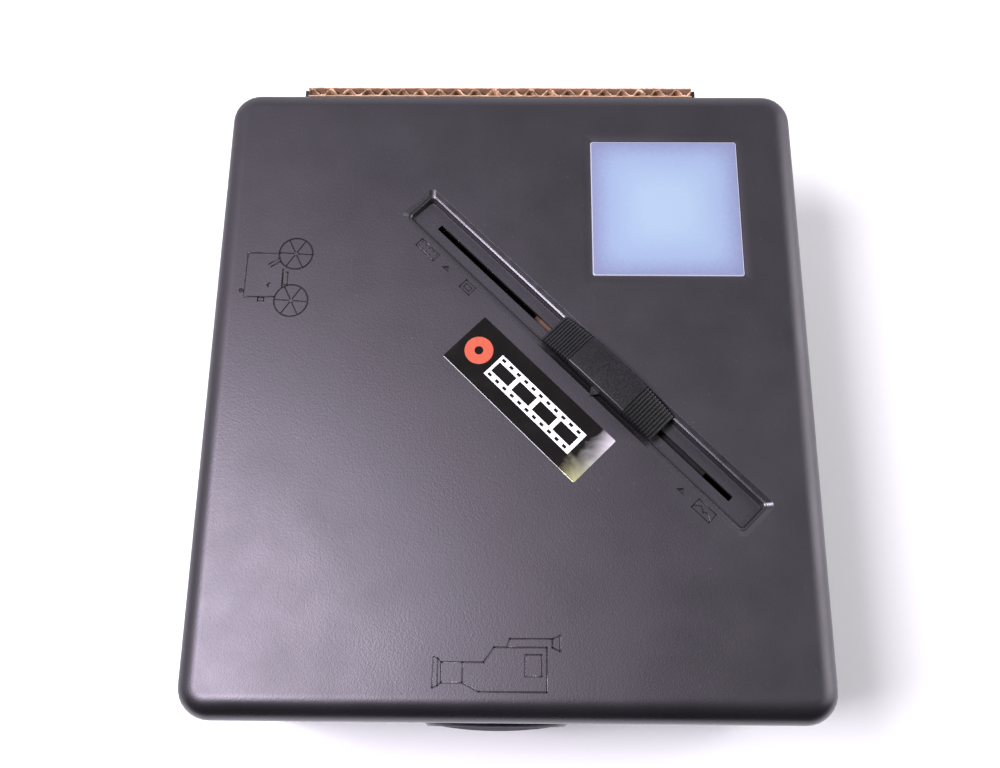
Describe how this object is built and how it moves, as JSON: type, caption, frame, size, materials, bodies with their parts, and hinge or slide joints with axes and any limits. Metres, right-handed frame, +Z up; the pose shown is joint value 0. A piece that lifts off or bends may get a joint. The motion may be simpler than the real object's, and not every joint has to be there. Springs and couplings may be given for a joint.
{
  "type": "film, slide and photo video transfer box",
  "caption": "Moulded box with a front lens port, a side ground-glass screen, a rear print holder, a light window and a mirror on a diagonal slider.",
  "frame": {"origin": "middle of the whole object's box, on the surface that the feet stand on", "axes": "+Z up, -Y towards the camcorder at the lens port, -X towards the projector"},
  "size_m": [0.236, 0.2644, 0.1315],
  "materials": {
    "case_plastic": "fine leather-grain moulded ABS, dark grey",
    "black_plastic": "satin black moulded plastic",
    "knob_plastic": "satin black moulded plastic, ribbed ends",
    "gloss_black": "gloss black",
    "opal_acrylic": "opal acrylic, cool white",
    "lens_glass": "clear polished glass",
    "ground_glass": "ground on one face",
    "mirror": "first-surface mirror",
    "steel": "zinc-plated",
    "nylon": "natural nylon",
    "rubber": "matte black",
    "card": "brown corrugated board",
    "label_foil": "gloss black metallised foil"
  },
  "bodies": {
    "housing": {"top_cover": "case_plastic", "base_shell": "case_plastic", "housing_screw_1": "steel", "housing_screw_2": "steel", "housing_screw_3": "steel", "housing_screw_4": "steel", "rubber_foot_1": "rubber", "rubber_foot_2": "rubber", "rubber_foot_3": "rubber", "rubber_foot_4": "rubber", "light_window": "opal_acrylic", "window_retainer": "black_plastic", "window_screw_1": "steel", "window_screw_2": "steel", "window_screw_3": "steel", "window_screw_4": "steel", "label_foil": "label_foil", "lower_guide_rail": "black_plastic", "projector_port": "black_plastic", "ground_glass_screen": "ground_glass", "screen_retainer": "black_plastic", "screen_screw_1": "steel", "screen_screw_2": "steel", "screen_screw_3": "steel", "screen_screw_4": "steel", "lens_port_collar": "gloss_black", "light_seal_ring": "rubber", "close_up_lens": "lens_glass", "lens_retaining_ring": "gloss_black", "collar_screw_1": "steel", "collar_screw_2": "steel", "collar_screw_3": "steel", "collar_screw_4": "steel", "print_holder": "black_plastic", "print_holder_screw_1": "steel", "print_holder_screw_2": "steel", "print_holder_screw_3": "steel", "print_holder_screw_4": "steel"},
    "mirror_slider": {"slider_knob": "knob_plastic", "mirror_frame": "black_plastic", "mirror_glass": "mirror", "mirror_clip_1": "steel", "mirror_clip_2": "steel", "mirror_clip_3": "steel", "mirror_clip_4": "steel", "knob_screw_1": "steel", "knob_screw_2": "steel", "guide_shoe_1": "nylon", "guide_shoe_2": "nylon"},
    "card": {"card_insert": "card"}
  },
  "joints": [
    {"name": "mirror_slide", "type": "slide", "parent": "housing", "child": "mirror_slider", "axis": [0.7071, -0.7071, 0], "range_m": [-0.0764, 0.0501]},
    {"name": "card_lift", "type": "slide", "parent": "housing", "child": "card", "axis": [0, 0, 1], "range_m": [0, 0.11]}
  ]
}
